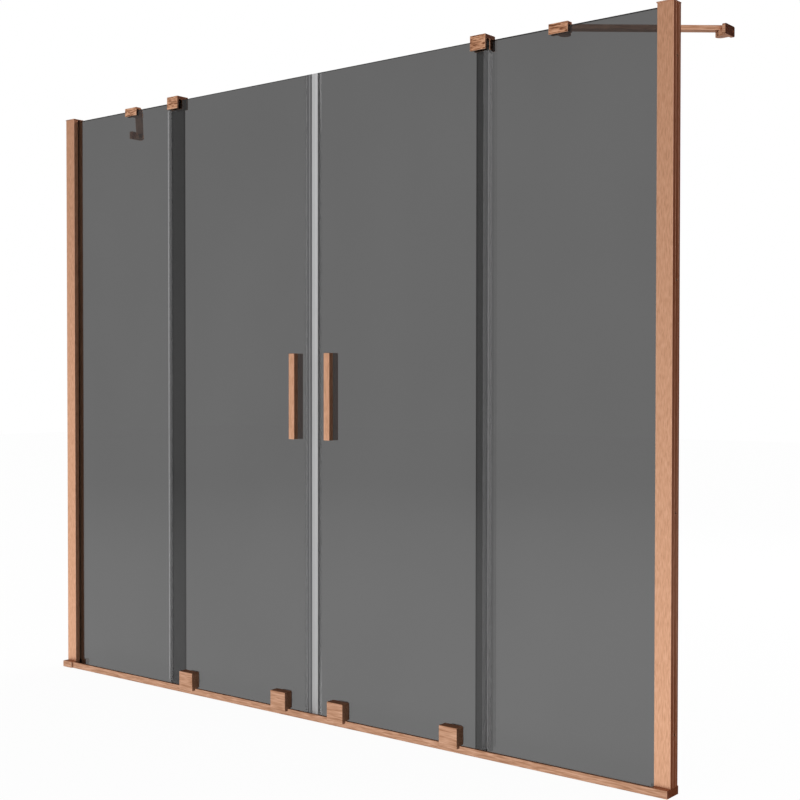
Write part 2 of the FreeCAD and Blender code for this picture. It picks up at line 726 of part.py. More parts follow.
# Sliding doors: each pane carries its seals, a pair of handles and two roller blocks.
BLOCKS = (("inner", "block_inner_place"), ("outer", "block_outer_place"))
SCREW_SIDES = (("near", -1), ("far", 1))
for side_name, side in SIDES:
    pane = box(f"door_pane_{side_name}", ("door_inner", "door_outer"), ("door_front", "door_rear"),
               ("door_bottom", "door_top"), side)
    pane_holes = []

    # The seal on the meeting edge clips over the glass and holds a magnet strip.
    clip_section = [
        ("seal_face", "seal_front"),
        ("seal_leg_end", "seal_front"),
        ("seal_leg_end", "door_front"),
        ("door_inner", "door_front"),
        ("door_inner", "door_rear"),
        ("seal_leg_end", "door_rear"),
        ("seal_leg_end", "seal_rear"),
        ("seal_face", "seal_rear"),
    ]
    magnet_x = ("magnet_inner", "magnet_outer")
    magnet_y = ("door_middle - magnet_depth / 2", "door_middle + magnet_depth / 2")
    clip_outlines = [mirrored(clip_section, side), mirrored(rectangle(magnet_x, magnet_y), side)]
    clip = extrusion(f"meeting_clip_{side_name}", "XY_Plane", clip_outlines, "door_bottom",
                     "door_top - (door_bottom)")
    node(clip, f"magnetic_seal_{side_name}")
    magnet = box(f"magnet_{side_name}", magnet_x, magnet_y, ("door_bottom", "door_top"), side)
    node(magnet, f"seal_magnet_{side_name}")

    # The seal on the outer edge has a fin that reaches for the fixed pane.
    edge_section = [
        ("edge_leg_end", "seal_front"),
        ("edge_end", "seal_front"),
        ("edge_end", "seal_rear"),
        ("fin_inner + edge_fin", "seal_rear"),
        ("fin_inner + edge_fin", "fin_tip"),
        ("fin_inner", "fin_tip"),
        ("fin_inner", "seal_rear"),
        ("edge_leg_end", "seal_rear"),
        ("edge_leg_end", "door_rear"),
        ("door_outer", "door_rear"),
        ("door_outer", "door_front"),
        ("edge_leg_end", "door_front"),
    ]
    edge_clip = extrusion(f"edge_clip_{side_name}", "XY_Plane", [mirrored(edge_section, side)], "edge_bottom",
                          "edge_top - (edge_bottom)")
    node(edge_clip, f"edge_seal_{side_name}")

    # Handles: flat bars on both faces, drawn together by two screws through the glass.
    handle_x = ("handle_inner_side", "handle_outer_side")
    grips = []
    for face, depth in (("outer", ("handle_front", "door_front")), ("inner", ("door_rear", "handle_rear"))):
        grip = extrusion(f"grip_{face}_{side_name}", "XY_Plane",
                         [mirrored(rectangle(handle_x, depth), side)], "handle_low", "handle_length")
        glass_face = value("door_front" if face == "outer" else "door_rear")
        round_edges(grip, "handle_corner", lambda way, middle: abs(middle.y - glass_face) > SAME)
        grips.append(grip)
    outer_holes = []
    inner_holes = []
    screws = []
    for end, way in SCREW_SIDES:
        height = f"handle_middle + ({way}) * handle_screw_step / 2"
        bite = ("door_front - handle_bite", "handle_rear - handle_head")
        head = ("handle_rear - handle_head", "handle_rear")
        shank_hole = rod(f"handle_hole_{side_name}_{end}", "handle_screw_radius + screw_play", "handle_place",
                         bite, height, side)
        outer_holes.append(shank_hole)
        inner_holes.append(shank_hole)
        inner_holes.append(rod(f"handle_sink_{side_name}_{end}", "handle_head_radius + screw_play",
                               "handle_place", head, height, side))
        pane_holes.append(rod(f"handle_glass_hole_{side_name}_{end}", "handle_screw_radius + glass_hole_play",
                              "handle_place", ("door_front", "door_rear"), height, side))
        shank = rod(f"handle_shank_{side_name}_{end}", "handle_screw_radius", "handle_place", bite, height,
                    side)
        screw_head = rod(f"handle_head_{side_name}_{end}", "handle_head_radius", "handle_place", head, height,
                         side)
        screws.append(fuse(f"handle_screw_{side_name}_{end}", [shank, screw_head]))
    node(cut(f"handle_outer_cut_{side_name}", grips[0], outer_holes), f"handle_outer_{side_name}")
    node(cut(f"handle_inner_cut_{side_name}", grips[1], inner_holes), f"handle_inner_{side_name}")
    node(group(f"handle_screw_pair_{side_name}", screws), f"handle_screws_{side_name}")

    # Roller blocks: a housing in front of the glass with a skirt before the rail, drawn to a small
    # plate behind the glass. The wheel turns in its well on an axle.
    block_pads = []
    plates = []
    block_screws = []
    axles = []
    for block_name, place in BLOCKS:
        tag = f"{side_name}_{block_name}"
        block_x = (f"{place} - block_width / 2", f"{place} + block_width / 2")
        block_section = [
            ("block_front", "skirt_bottom"),
            ("skirt_rear", "skirt_bottom"),
            ("skirt_rear", "block_floor"),
            ("block_rear", "block_floor"),
            ("block_rear", "block_top"),
            ("block_front", "block_top"),
        ]
        housing = extrusion(f"housing_{tag}", "YZ_Plane", [block_section],
                            span_along_x(block_x[0], block_x[1], side), "block_width")
        round_edges(housing, "block_corner",
                    lambda way, middle: (abs(middle.y - value("block_front")) < SAME
                                         or abs(middle.z - value("block_top")) < SAME))
        well = ("well_front", "well_rear")
        well_box = box(f"well_box_{tag}", (f"{place} - (well_half)", f"{place} + (well_half)"), well,
                       ("skirt_bottom", "axle_height"), side)
        well_round = rod(f"well_round_{tag}", "well_half", place, well, "axle_height", side)
        axle_reach = ("well_front - axle_seat", "block_rear")
        axle_hole = rod(f"axle_hole_{tag}", "axle_radius + press_play", place, axle_reach, "axle_height",
                        side)
        axles.append(rod(f"axle_{tag}", "axle_radius", place, axle_reach, "axle_height", side))
        housing_cuts = [well_box, well_round, axle_hole]
        plate_cuts = []
        pad_cuts = []
        for end, way in SCREW_SIDES:
            across = f"{place} + ({way}) * block_screw_spacing / 2"
            bite = ("block_rear - block_screw_bite", "plate_rear - block_head")
            head = ("plate_rear - block_head", "plate_rear")
            screw_hole = rod(f"block_hole_{tag}_{end}", "block_screw_radius + screw_play", across, bite,
                             "block_screw_height", side)
            sink = rod(f"block_sink_{tag}_{end}", "block_head_radius + screw_play", across, head,
                       "block_screw_height", side)
            housing_cuts.append(screw_hole)
            pad_cuts.append(screw_hole)
            plate_cuts += [screw_hole, sink]
            pane_holes.append(rod(f"block_glass_hole_{tag}_{end}", "block_screw_radius + glass_hole_play",
                                  across, ("door_front", "door_rear"), "block_screw_height", side))
            shank = rod(f"block_shank_{tag}_{end}", "block_screw_radius", across, bite, "block_screw_height",
                        side)
            screw_head = rod(f"block_head_{tag}_{end}", "block_head_radius", across, head,
                             "block_screw_height", side)
            block_screws.append(fuse(f"block_screw_{tag}_{end}", [shank, screw_head]))
        node(cut(f"block_{tag}", housing, housing_cuts), f"roller_block_{tag}")
        plate_x = (f"{place} - plate_width / 2", f"{place} + plate_width / 2")
        plate_z = ("plate_low", "plate_high")
        rear_plate = box(f"plate_blank_{tag}", plate_x, ("plate_front", "plate_rear"), plate_z, side)
        plates.append(cut(f"plate_{tag}", rear_plate, plate_cuts))
        pad_layers = (
            ("front", block_x, ("block_rear", "door_front"), ("block_floor", "plate_high")),
            ("rear", plate_x, ("door_rear", "plate_front"), plate_z),
        )
        for layer_name, pad_x, pad_y, pad_z in pad_layers:
            blank = box(f"block_pad_blank_{layer_name}_{tag}", pad_x, pad_y, pad_z, side)
            block_pads.append(cut(f"block_pad_{layer_name}_{tag}", blank, pad_cuts))

        # Roller: a plastic wheel with a rim behind the lip, pressed over a ball bearing whose long
        # inner ring keeps it in the middle of the well.
        tread = rod(f"tread_{tag}", "wheel_radius", place, ("tread_front", "rim_rear"), "axle_height", side)
        rim = rod(f"rim_{tag}", "rim_radius", place, ("rim_front", "rim_rear"), "axle_height", side)
        wheel_bore = rod(f"wheel_bore_{tag}", "bearing_radius + press_play", place,
                         ("tread_front", "rim_rear"), "axle_height", side)
        wheel_blank = fuse(f"wheel_blank_{tag}", [tread, rim])
        node(cut(f"wheel_{tag}", wheel_blank, [wheel_bore]), f"roller_wheel_{tag}")
        bearing_y = ("bearing_middle - bearing_width / 2", "bearing_middle + bearing_width / 2")
        sleeve_y = ("well_front + axle_play", "well_rear - axle_play")
        ring = rod(f"ring_{tag}", "bearing_radius", place, bearing_y, "axle_height", side)
        sleeve = rod(f"sleeve_{tag}", "sleeve_radius", place, sleeve_y, "axle_height", side)
        bore = rod(f"bearing_bore_{tag}", "axle_radius + axle_play", place, sleeve_y, "axle_height", side)
        bearing_cuts = [bore]
        for face, groove in (("front", (bearing_y[0], f"{bearing_y[0]} + bearing_groove")),
                             ("rear", (f"{bearing_y[1]} - bearing_groove", bearing_y[1]))):
            disc = rod(f"groove_disc_{face}_{tag}", "bearing_radius - bearing_sleeve", place, groove,
                       "axle_height", side)
            hub = rod(f"groove_hub_{face}_{tag}", "sleeve_radius", place, groove, "axle_height", side)
            bearing_cuts.append(cut(f"groove_{face}_{tag}", disc, [hub]))
        node(cut(f"bearing_{tag}", fuse(f"bearing_blank_{tag}", [ring, sleeve]), bearing_cuts),
             f"roller_bearing_{tag}")
    node(group(f"block_pad_set_{side_name}", block_pads), f"block_pads_{side_name}")
    node(group(f"plate_pair_{side_name}", plates), f"block_plates_{side_name}")
    node(group(f"block_screw_set_{side_name}", block_screws), f"block_screws_{side_name}")
    node(group(f"axle_pair_{side_name}", axles), f"roller_axles_{side_name}")
    node(cut(f"door_{side_name}", pane, pane_holes), f"door_glass_{side_name}")

doc.recompute()

faults = [thing.Name for thing in doc.Objects if "Invalid" in thing.State or "Error" in thing.State]
faults += [piece.Label for piece in nodes if piece.Shape.isNull() or not piece.Shape.isValid()]
if faults:
    raise RuntimeError("not built: " + ", ".join(faults))
os.makedirs("parts", exist_ok=True)
for piece in nodes:
    piece.Shape.exportStep(f"parts/{piece.Label}.step")
print(len(nodes), "nodes,", sum(len(piece.Shape.Solids) for piece in nodes), "solids")
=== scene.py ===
import math

import bmesh
import bpy
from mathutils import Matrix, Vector


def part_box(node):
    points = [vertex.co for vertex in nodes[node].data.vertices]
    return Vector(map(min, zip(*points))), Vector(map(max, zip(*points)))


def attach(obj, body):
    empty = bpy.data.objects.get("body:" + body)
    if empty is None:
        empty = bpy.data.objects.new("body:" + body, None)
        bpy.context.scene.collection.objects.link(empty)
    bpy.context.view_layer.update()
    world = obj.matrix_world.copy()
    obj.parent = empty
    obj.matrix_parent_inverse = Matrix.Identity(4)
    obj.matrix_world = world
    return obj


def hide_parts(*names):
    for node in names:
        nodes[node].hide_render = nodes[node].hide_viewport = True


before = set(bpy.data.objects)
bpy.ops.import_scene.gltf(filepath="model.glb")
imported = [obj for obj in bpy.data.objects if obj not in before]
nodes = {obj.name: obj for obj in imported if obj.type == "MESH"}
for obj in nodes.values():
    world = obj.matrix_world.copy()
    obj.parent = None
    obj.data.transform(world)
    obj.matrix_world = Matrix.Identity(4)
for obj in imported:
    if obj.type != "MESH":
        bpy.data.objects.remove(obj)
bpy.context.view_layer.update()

# Bottom rail and its end caps. An aluminium trough, extruded in one length, is bedded on the bath rim, and
# caps close its ends. They are belt brushed lengthwise and anodised in a copper colour, painted about a
# quarter darker than the uprights as shade. A paler painted highlight runs along the caps' edges, and painted
# shade darkens the inside of the trough.
SIDES = ("left", "right")
# The level pieces' copper: the uprights' copper painted about a quarter darker as shade.
SHADED_COPPER_DARK = (0.385, 0.196, 0.113, 1)
SHADED_COPPER_MID = (0.523, 0.293, 0.185, 1)
SHADED_COPPER_PALE = (0.658, 0.398, 0.272, 1)
# Paler tone of the eased edges: a painted highlight.
COPPER_EDGE_HIGHLIGHT = (0.84, 0.54, 0.39, 1)
SHADED_COPPER_TONES = (SHADED_COPPER_DARK, SHADED_COPPER_MID, SHADED_COPPER_PALE)
EDGE_HIGHLIGHT_TONES = (SHADED_COPPER_PALE, COPPER_EDGE_HIGHLIGHT)
BRUSH_SPAN = (0.38, 0.5, 0.62)
NOISE_SPAN = (0.3, 0.7)
COPPER_ROUGHNESS = (0.44, 0.56)
EDGE_ROUGHNESS = (0.36, 0.46)
STREAK = (0.036, 0.0030, 0.0030)
STREAK_DETAIL = 5
STREAK_WAVINESS = 0.5
HAIRLINE = (0.030, 0.0005, 0.0005)
HAIRLINE_DETAIL = 4
HAIRLINE_SHARE = 0.3
HAIRLINE_DEPTH = 0.00008
GRAIN_STRENGTH = 0.35
GRAIN_LEVEL = (0.0, 0.0, 0.0)
# Painted shade inside the trough.
TROUGH_PAINTED_SHADE = (0.12, 0.055, 0.032, 1)
TROUGH_FRONT = -0.0172
TROUGH_REAR = 0.0120
EXTRUSION_EDGE = 0.0005
EDGE_STEPS = 2
WELD_DISTANCE = 0.00001
SHARP_ANGLE = math.radians(35)


def new_material(name):
    material = bpy.data.materials.new(name)
    material.use_nodes = True
    return material, material.node_tree, material.node_tree.nodes["Principled BSDF"]


def fill(tree, sockets, values):
    """Set each socket to a plain value, or link it to another socket."""
    for socket, value in zip(sockets, values):
        if isinstance(value, bpy.types.NodeSocket):
            tree.links.new(value, socket)
        else:
            socket.default_value = value


def piece_place(tree):
    """Where a point lies on its piece, in metres."""
    return tree.nodes.new("ShaderNodeTexCoord").outputs["Object"]


def streaks(tree, size, detail, turn=GRAIN_LEVEL, waviness=0.0):
    """Noise drawn out to the given size in metres, its first axis laid along the grain."""
    lay = tree.nodes.new("ShaderNodeMapping")
    lay.vector_type = "TEXTURE"
    lay.inputs["Rotation"].default_value = turn
    lay.inputs["Scale"].default_value = size
    noise = tree.nodes.new("ShaderNodeTexNoise")
    noise.inputs["Scale"].default_value = 1
    noise.inputs["Detail"].default_value = detail
    noise.inputs["Distortion"].default_value = waviness
    tree.links.new(piece_place(tree), lay.inputs["Vector"])
    tree.links.new(lay.outputs["Vector"], noise.inputs["Vector"])
    return noise.outputs["Fac"]


def shades(tree, factor, places, tones):
    """Tones spread along a factor, one at each place."""
    ramp = tree.nodes.new("ShaderNodeValToRGB")
    band = ramp.color_ramp
    for place in places[1:-1]:
        band.elements.new(place)
    for element, place, tone in zip(band.elements, places, tones):
        element.position = place
        element.color = tone
    tree.links.new(factor, ramp.inputs["Fac"])
    return ramp.outputs["Color"]


def graded(tree, factor, start, end, low, high, curve="LINEAR"):
    """A value that goes from low to high as the factor goes from start to end."""
    grade = tree.nodes.new("ShaderNodeMapRange")
    grade.interpolation_type = curve
    names = ("Value", "From Min", "From Max", "To Min", "To Max")
    fill(tree, [grade.inputs[name] for name in names], (factor, start, end, low, high))
    return grade.outputs["Result"]


def overlay(tree, kind, share, under, over):
    """One value or colour laid over another by a share."""
    mix = tree.nodes.new("ShaderNodeMix")
    mix.data_type = kind
    fill(tree, [mix.inputs[name] for name in ("Factor", "A", "B")], (share, under, over))
    return mix.outputs["Result"]


def raise_grain(tree, surface, grain, depth):
    bump = tree.nodes.new("ShaderNodeBump")
    bump.inputs["Distance"].default_value = depth
    bump.inputs["Strength"].default_value = GRAIN_STRENGTH
    tree.links.new(grain, bump.inputs["Height"])
    tree.links.new(bump.outputs["Normal"], surface.inputs["Normal"])


def brushed_copper(name, turn, tones, places=BRUSH_SPAN, roughness=COPPER_ROUGHNESS, streak=STREAK,
                   waviness=STREAK_WAVINESS):
    """Copper-coloured metal with broad streaks and fine hairlines along the grain."""
    material, tree, surface = new_material(name)
    broad = streaks(tree, streak, STREAK_DETAIL, turn, waviness)
    fine = streaks(tree, HAIRLINE, HAIRLINE_DETAIL, turn)
    grain = overlay(tree, "FLOAT", HAIRLINE_SHARE, broad, fine)
    tree.links.new(shades(tree, grain, places, tones), surface.inputs["Base Color"])
    tree.links.new(graded(tree, fine, *NOISE_SPAN, *roughness), surface.inputs["Roughness"])
    raise_grain(tree, surface, fine, HAIRLINE_DEPTH)
    surface.inputs["Metallic"].default_value = 1.0
    return material


def arithmetic(tree, operation, *values):
    step = tree.nodes.new("ShaderNodeMath")
    step.operation = operation
    fill(tree, step.inputs, values)
    return step.outputs["Value"]


def along_axes(tree, vector):
    """The three parts of a place or a direction."""
    parts = tree.nodes.new("ShaderNodeSeparateXYZ")
    tree.links.new(vector, parts.inputs["Vector"])
    return parts.outputs


def paint_shade_band(material, axis, low, high, tone):
    """Paint a band of shade over a finish between two places along one axis."""
    tree = material.node_tree
    finish = tree.nodes["Principled BSDF"].inputs["Base Color"]
    place = along_axes(tree, piece_place(tree))[axis]
    inside = arithmetic(tree, "COMPARE", place, (low + high) / 2, (high - low) / 2)
    tree.links.new(overlay(tree, "RGBA", inside, finish.links[0].from_socket, tone), finish)


def dress(node_name, finish, edge_finish=None, edge=0.0):
    """Give a CAD node its finish and, where it has an edge finish, eased edges of the given width."""
    piece = nodes[node_name]
    finishes = piece.data.materials
    finishes.clear()
    finishes.append(finish)
    if edge_finish is None:
        return
    finishes.append(edge_finish)
    weld = piece.modifiers.new("joined_faces", "WELD")
    weld.merge_threshold = WELD_DISTANCE
    ease = piece.modifiers.new("eased_edges", "BEVEL")
    ease.width = edge
    ease.segments = EDGE_STEPS
    ease.limit_method = "ANGLE"
    ease.angle_limit = SHARP_ANGLE
    ease.material = len(finishes) - 1
    piece.modifiers.new("flat_faces", "WEIGHTED_NORMAL")


def keep_out_of_mirrors(node_name):
    """Leave a piece out of what polished glass and metal reflect."""
    nodes[node_name].visible_glossy = False


# Level copper with painted shade, about a quarter darker than the uprights.
copper_level_shaded = brushed_copper("copper_brushed_level_painted_shade", GRAIN_LEVEL, SHADED_COPPER_TONES)
# Eased edges with a painted highlight in a paler tone.
copper_edge_highlight = brushed_copper("copper_edge_painted_highlight", GRAIN_LEVEL, EDGE_HIGHLIGHT_TONES, NOISE_SPAN, EDGE_ROUGHNESS)
copper_rail_shaded = brushed_copper("copper_brushed_rail_painted_shade", GRAIN_LEVEL, SHADED_COPPER_TONES)
# Painted shade darkens the inside of the trough.
paint_shade_band(copper_rail_shaded, "Y", TROUGH_FRONT, TROUGH_REAR, TROUGH_PAINTED_SHADE)
dress("bottom_rail", copper_rail_shaded, copper_rail_shaded, EXTRUSION_EDGE)
keep_out_of_mirrors("bottom_rail")
for side in SIDES:
    dress(f"rail_end_cap_{side}", copper_level_shaded, copper_edge_highlight, EXTRUSION_EDGE)

# Rubber in the rail. Two soft channels seat the fixed panes in the rail's rear slot, and two buffers in the
# trough stop the doors. They are extruded and moulded in matt black rubber and only pushed in.
RUBBER_DARK = (0.010, 0.010, 0.010, 1)
RUBBER_PALE = (0.028, 0.028, 0.029, 1)
RUBBER_SPECK = (0.0012, 0.0012, 0.0012)
RUBBER_ROUGHNESS = (0.55, 0.75)
RUBBER_DEPTH = 0.00012
SPECK_DETAIL = 6


def moulded(name, speck, dark, pale, roughness, depth):
    """A moulded or extruded piece with a fine, even speckle."""
    material, tree, surface = new_material(name)
    speckle = streaks(tree, speck, SPECK_DETAIL)
    tree.links.new(shades(tree, speckle, NOISE_SPAN, (dark, pale)), surface.inputs["Base Color"])
    tree.links.new(graded(tree, speckle, *NOISE_SPAN, *roughness), surface.inputs["Roughness"])
    raise_grain(tree, surface, speckle, depth)
    return material


black_rubber = moulded("rubber_matt_black", RUBBER_SPECK, RUBBER_DARK, RUBBER_PALE, RUBBER_ROUGHNESS,
                       RUBBER_DEPTH)
dress("rail_glazing_strips", black_rubber)
dress("rail_stops", black_rubber)

# Wall profiles. A narrow channel is screwed to each wall, and a cover profile slides over it and takes the
# pane in a black gasket. Both are extrusions brushed upright, and a thin cap closes each cover at its top.
CAP_EDGE = 0.0004
UPRIGHT_DARK = (0.58, 0.314, 0.190, 1)
UPRIGHT_MID = (0.70, 0.394, 0.248, 1)
UPRIGHT_PALE = (0.765, 0.449, 0.297, 1)
UPRIGHT_TONES = (UPRIGHT_DARK, UPRIGHT_MID, UPRIGHT_PALE)
UPRIGHT_STREAK = (0.016, 0.0020, 0.0020)
GRAIN_UPRIGHT = (0.0, math.radians(-90), 0.0)
copper_upright = brushed_copper("copper_brushed_upright", GRAIN_UPRIGHT, UPRIGHT_TONES, streak=UPRIGHT_STREAK)
for side in SIDES:
    dress(f"wall_channel_{side}", copper_upright, copper_edge_highlight, CAP_EDGE)
    dress(f"cover_profile_{side}", copper_upright, copper_edge_highlight, EXTRUSION_EDGE)
dress("profile_caps", copper_level_shaded, copper_edge_highlight, CAP_EDGE)
dress("glazing_gaskets", black_rubber)

# Screws that lock the covers to the wall channels, from the bath side. They are stainless, turned with a low
# round head, and a driver's hexagon is pressed into it.
STEEL_DARK = (0.36, 0.36, 0.37, 1)
STEEL_PALE = (0.62, 0.62, 0.63, 1)
STEEL_SCRATCH = (0.0020, 0.0002, 0.0020)
STEEL_ROUGHNESS = (0.22, 0.36)
STEEL_DEPTH = 0.00003
AXES = range(3)
INTO_BATH = Vector((0, 1, 0))
UPWARD = Vector((0, 0, 1))
ROUND_STEPS = 48
HEXAGON_SIDES = 6
HEXAGON_STEPS = ROUND_STEPS // HEXAGON_SIDES
HEXAGON_TURN = math.tau / HEXAGON_SIDES
PLACE_DIGITS = 5
TIP_SHARE = 0.25
CROWN_SHARE = 0.25
CROWN_BREAK = 0.3
SOCKET_FLOOR = 0.5
LOCK_SCREW = {"shank": 0.0016, "head": 0.002, "socket": 0.0013, "depth": 0.0013}
steel = moulded("steel_stainless", STEEL_SCRATCH, STEEL_DARK, STEEL_PALE, STEEL_ROUGHNESS, STEEL_DEPTH)
steel.node_tree.nodes["Principled BSDF"].inputs["Metallic"].default_value = 1.0


def solid_boxes(node_name):
    """Lowest and highest corner of each separate solid in a CAD node, in a steady order."""
    shape = bmesh.new()
    shape.from_mesh(nodes[node_name].data)
    bmesh.ops.remove_doubles(shape, verts=shape.verts, dist=WELD_DISTANCE)
    waiting = set(shape.verts)
    boxes = []
    while waiting:
        solid = [waiting.pop()]
        for vertex in solid:
            for line in vertex.link_edges:
                neighbour = line.other_vert(vertex)
                if neighbour in waiting:
                    waiting.remove(neighbour)
                    solid.append(neighbour)
        low = Vector(min(vertex.co[axis] for vertex in solid) for axis in AXES)
        high = Vector(max(vertex.co[axis] for vertex in solid) for axis in AXES)
        boxes.append((low, high))
    shape.free()
    return sorted(boxes, key=lambda corners: tuple(round(value, PLACE_DIGITS) for value in corners[0]))


def hexagon_reach(step, half_width):
    """How far a hexagon with this half width reaches at one step of the round."""
    turn = (step % HEXAGON_STEPS) / HEXAGON_STEPS * HEXAGON_TURN - HEXAGON_TURN / 2
    return half_width / math.cos(turn)


def turn_on_lathe(shape, rings, foot, along, across):
    """Add a turned solid to a mesh.

    Each ring is a height over the foot, a radius, and whether it is a hexagon.
    """
    aside = along.cross(across)
    rows = []
    for height, radius, is_hexagon in rings:
        row = []
        for step in range(ROUND_STEPS):
            angle = step / ROUND_STEPS * math.tau
            reach = hexagon_reach(step, radius) if is_hexagon else radius
            place = foot + along * height + (across * math.cos(angle) + aside * math.sin(angle)) * reach
            row.append(shape.verts.new(place))
        rows.append(row)
    for lower, upper in zip(rows, rows[1:]):
        for step in range(ROUND_STEPS):
            after = (step + 1) % ROUND_STEPS
            shape.faces.new((lower[step], lower[after], upper[after], upper[step]))
    shape.faces.new(list(reversed(rows[0])))
    shape.faces.new(rows[-1])


def turned_steel(name, node_name, body, along, across, rings, sizes):
    """Turned steel pieces along one axis, one for each solid of the CAD node that they stand for."""
    shape = bmesh.new()
    for low, high in solid_boxes(node_name):
        middle = (low + high) / 2
        foot = Vector(low[axis] if along[axis] else middle[axis] for axis in AXES)
        length = high.dot(along) - low.dot(along)
        radius = (high.x - low.x) / 2
        turn_on_lathe(shape, rings(length, radius, **sizes), foot, along, across)
    bmesh.ops.recalc_face_normals(shape, faces=shape.faces)
    mesh = bpy.data.meshes.new(name)
    shape.to_mesh(mesh)
    shape.free()
    mesh.materials.append(steel)
    piece = bpy.data.objects.new(name, mesh)
    bpy.context.scene.collection.objects.link(piece)
    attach(piece, body)
    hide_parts(node_name)


def socket_screw(length, radius, shank, head, socket, depth):
    """Rings of a screw from its tip to its head, with chamfered ends and a hexagon socket."""
    tip = shank * TIP_SHARE
    crown = head * CROWN_SHARE
    return [
        (0.0, shank - tip, False),
        (tip, shank, False),
        (length - head, shank, False),
        (length - head, radius, False),
        (length - crown, radius, False),
        (length - crown * CROWN_BREAK, radius - crown * CROWN_BREAK, False),
        (length, radius - crown, False),
        (length, socket, True),
        (length - depth, socket, True),
        (length - depth, socket * SOCKET_FLOOR, True),
    ]


turned_steel("profile_lock_screws", "profile_screws", "frame", INTO_BATH, UPWARD, socket_screw, LOCK_SCREW)

# Fixed panes. Toughened float glass, 6 mm thick and tinted grey in the melt, stands in the rail's rubber and
# the profile's gasket. The faces are clear to look through and the ground, polished edges look almost black.
GLASS_DARK = (0.335, 0.335, 0.335, 1)
GLASS_PALE = (0.347, 0.347, 0.347, 1)
GLASS_CLOUD = (0.35, 0.35, 0.5)
CLOUD_DETAIL = 2
GLASS_MIRROR = 0.053
MIRROR_POWER = 5
GLASS_POLISH = 0.012
GLASS_EDGE_DARK = (0.004, 0.0045, 0.0045, 1)
GLASS_EDGE_PALE = (0.010, 0.0115, 0.011, 1)
GLASS_EDGE_GRIND = (0.004, 0.004, 0.004)
GLASS_EDGE_ROUGHNESS = (0.12, 0.22)
GRIND_DETAIL = 5
GLASS_ARRIS = 0.0008
FACE_LIMIT = 0.95


def mix_shaders(tree, factor, first, second):
    mix = tree.nodes.new("ShaderNodeMixShader")
    fill(tree, mix.inputs, (factor, first, second))
    return mix.outputs["Shader"]


def tinted_glass(name):
    """Clear, tinted faces that mirror more at a slant, and dark ground edges."""
    material, tree, edge = new_material(name)
    cloud = streaks(tree, GLASS_CLOUD, CLOUD_DETAIL)
    clear = tree.nodes.new("ShaderNodeBsdfTransparent")
    tree.links.new(shades(tree, cloud, NOISE_SPAN, (GLASS_DARK, GLASS_PALE)), clear.inputs["Color"])
    outward = tree.nodes.new("ShaderNodeNewGeometry").outputs["True Normal"]
    gloss = tree.nodes.new("ShaderNodeBsdfGlossy")
    gloss.inputs["Roughness"].default_value = GLASS_POLISH
    tree.links.new(outward, gloss.inputs["Normal"])
    slant = tree.nodes.new("ShaderNodeLayerWeight")
    tree.links.new(outward, slant.inputs["Normal"])
    rim = arithmetic(tree, "POWER", slant.outputs["Facing"], MIRROR_POWER)
    mirror = arithmetic(tree, "MULTIPLY_ADD", rim, 1 - GLASS_MIRROR, GLASS_MIRROR)
    face = mix_shaders(tree, mirror, clear.outputs["BSDF"], gloss.outputs["BSDF"])
    grind = streaks(tree, GLASS_EDGE_GRIND, GRIND_DETAIL)
    edge_tones = (GLASS_EDGE_DARK, GLASS_EDGE_PALE)
    tree.links.new(shades(tree, grind, NOISE_SPAN, edge_tones), edge.inputs["Base Color"])
    tree.links.new(graded(tree, grind, *NOISE_SPAN, *GLASS_EDGE_ROUGHNESS), edge.inputs["Roughness"])
    across = arithmetic(tree, "ABSOLUTE", along_axes(tree, outward)["Y"])
    on_edge = arithmetic(tree, "LESS_THAN", across, FACE_LIMIT)
    pane = mix_shaders(tree, on_edge, face, edge.outputs["BSDF"])
    tree.links.new(pane, tree.nodes["Material Output"].inputs["Surface"])
    return material


grey_glass = tinted_glass("glass_tinted_grey")
for side in SIDES:
    dress(f"fixed_glass_{side}", grey_glass, grey_glass, GLASS_ARRIS)

# Top guides. Each is a block in the shape of an upturned E, sawn and milled from bar and brushed by hand,
# with painted shade on its end faces. It grips the fixed pane and lets the door run between glide pads, which
# line the stabilisers' clamps too. Set screws press the pads on the glass.
GUIDE_EDGE = 0.0006
FIGURE_DARK = (0.22, 0.08, 0.035, 1)
FIGURE_MID = (0.70, 0.367, 0.213, 1)
FIGURE_PALE = (0.95, 0.60, 0.40, 1)
FIGURE_TONES = (FIGURE_DARK, FIGURE_MID, FIGURE_PALE)
FIGURE_SPAN = (0.42, 0.5, 0.58)
FIGURE_STREAK = (0.022, 0.0028, 0.0028)
FIGURE_WAVINESS = 1.1
# Painted shade for the end faces of the guides and the flanges' wall side.
END_PAINTED_SHADE = (0.26, 0.125, 0.075, 1)
END_SHADE_DEPTH = 0.0004
SET_SCREW = {"chamfer": 0.0005, "socket": 0.00125, "depth": 0.0025}


def hand_brushed(name):
    return brushed_copper(name, GRAIN_LEVEL, FIGURE_TONES, FIGURE_SPAN, streak=FIGURE_STREAK,
                          waviness=FIGURE_WAVINESS)


def headless_pin(length, radius, chamfer, socket, depth):
    """Rings of a straight pin with chamfered ends and a hexagon socket."""
    return [
        (0.0, radius - chamfer, False),
        (chamfer, radius, False),
        (length - chamfer, radius, False),
        (length, radius - chamfer, False),
        (length, socket, True),
        (length - depth, socket, True),
    ]


for side in SIDES:
    copper_guide = hand_brushed(f"copper_hand_brushed_guide_{side}")
    for guide_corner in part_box(f"top_guide_{side}"):
        # Painted shade on both end faces of the guide.
        paint_shade_band(copper_guide, "X", guide_corner.x - END_SHADE_DEPTH, guide_corner.x + END_SHADE_DEPTH, END_PAINTED_SHADE)
    dress(f"top_guide_{side}", copper_guide, copper_edge_highlight, GUIDE_EDGE)
dress("glass_pads", black_rubber)
turned_steel("guide_set_screws", "grub_screws", "frame", INTO_BATH, UPWARD, headless_pin, SET_SCREW)
